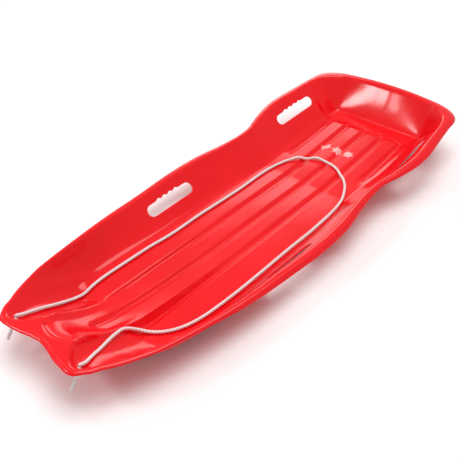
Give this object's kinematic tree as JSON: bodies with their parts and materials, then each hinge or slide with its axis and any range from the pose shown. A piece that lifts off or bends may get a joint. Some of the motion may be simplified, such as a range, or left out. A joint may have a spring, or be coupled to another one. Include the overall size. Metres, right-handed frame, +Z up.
{
  "type": "snow sled",
  "caption": "Glossy red moulded plastic snow sled with a horned nose, rolled rim, ribbed pan, moulded seat, scalloped hand slots and a white tow rope.",
  "frame": {"origin": "on the ground, under the middle of the shell's length and width", "axes": "+X to the right as seen by someone pulling the sled and looking back at it, +Y from the nose to the seat, +Z up from the ground"},
  "size_m": [0.462, 1.2288, 0.1196],
  "materials": {
    "red_plastic": "glossy moulded",
    "white_rope": "twisted three-strand"
  },
  "bodies": {
    "shell": {"sled_shell": "red_plastic", "rope_end_left": "white_rope", "rope_end_right": "white_rope", "rope_knot_left": "white_rope", "rope_knot_right": "white_rope", "rope_tail_left": "white_rope", "rope_tail_right": "white_rope"},
    "rope": {"tow_rope": "white_rope"}
  },
  "joints": [
    {"name": "tow_rope_swing", "type": "hinge", "parent": "shell", "child": "rope", "pos_m": [0, -0.5837, 0.08027], "axis": [1, 0, 0], "range_deg": [0, 140]}
  ]
}
